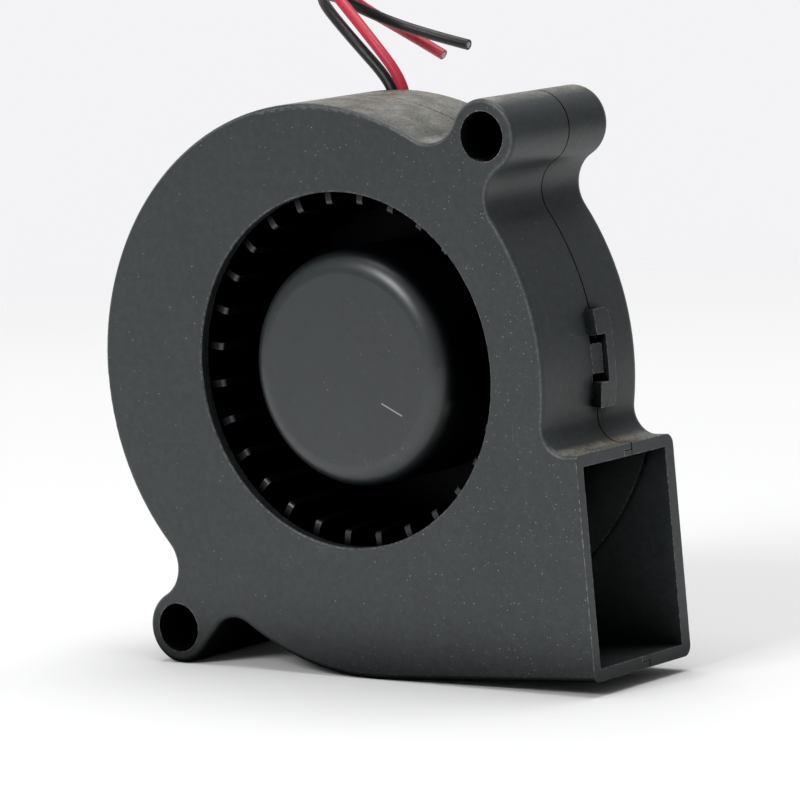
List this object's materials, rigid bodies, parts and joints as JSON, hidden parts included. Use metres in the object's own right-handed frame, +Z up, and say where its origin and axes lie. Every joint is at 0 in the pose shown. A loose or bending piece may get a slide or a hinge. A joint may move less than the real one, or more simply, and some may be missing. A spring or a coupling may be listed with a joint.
{
  "type": "centrifugal blower fan",
  "caption": "Small flat centrifugal blower: scroll housing with an eared round inlet face, side outlet, radial-bladed impeller and two short free leads with plain cut ends.",
  "frame": {"origin": "the floor point under the middle of the housing's outline as it stands, halfway through its depth; the floor is at Z = 0", "axes": "+Z up, +X towards the outlet, -Y out of the inlet; the housing is turned 3.285 degrees about Y, as it rests on its lower ear and the curve of its scroll"},
  "size_m": [0.052, 0.0312, 0.0616],
  "materials": {
    "housing_black": "moulded, fine spark-eroded texture, slightly dusty",
    "impeller_black": "moulded, satin",
    "yoke_steel": "plated deep-drawn steel",
    "magnet_ferrite": "moulded ferrite ring",
    "shaft_steel": "ground and polished",
    "brass": "turned",
    "bearing_bronze": "sintered and oil-filled",
    "seal_nylon": "plain nylon",
    "core_steel": "stamped laminations",
    "insulator_plastic": "moulded",
    "copper_wire": "enamelled wire",
    "board_green": "solder-masked glass epoxy",
    "chip_black": "moulded package",
    "capacitor_tan": "ceramic",
    "solder": "bright solder",
    "lead_black": "PVC, satin",
    "lead_red": "PVC, satin"
  },
  "bodies": {
    "housing": {"front_cover": "housing_black", "rear_housing": "housing_black", "bearing_tube": "brass", "sleeve_bearing": "bearing_bronze", "oil_seal": "seal_nylon", "thrust_pad": "seal_nylon", "stator_core": "core_steel", "insulator_front": "insulator_plastic", "insulator_rear": "insulator_plastic", "stator_coils": "copper_wire", "driver_board": "board_green", "winding_pins": "brass", "driver_chip": "chip_black", "hall_sensor": "chip_black", "capacitors": "capacitor_tan", "resistors": "chip_black", "solder_joints": "solder", "black_lead_end": "lead_black", "red_lead_end": "lead_red", "black_lead": "lead_black", "red_lead": "lead_red"},
    "rotor": {"impeller": "impeller_black", "rotor_yoke": "yoke_steel", "rotor_magnet": "magnet_ferrite", "shaft_boss": "brass", "shaft": "shaft_steel", "shaft_retainer": "seal_nylon"}
  },
  "joints": [
    {"name": "impeller_spin", "type": "hinge", "parent": "housing", "child": "rotor", "pos_m": [0.00063, 0, 0.02731], "axis": [0, -1, 0], "continuous": true}
  ]
}
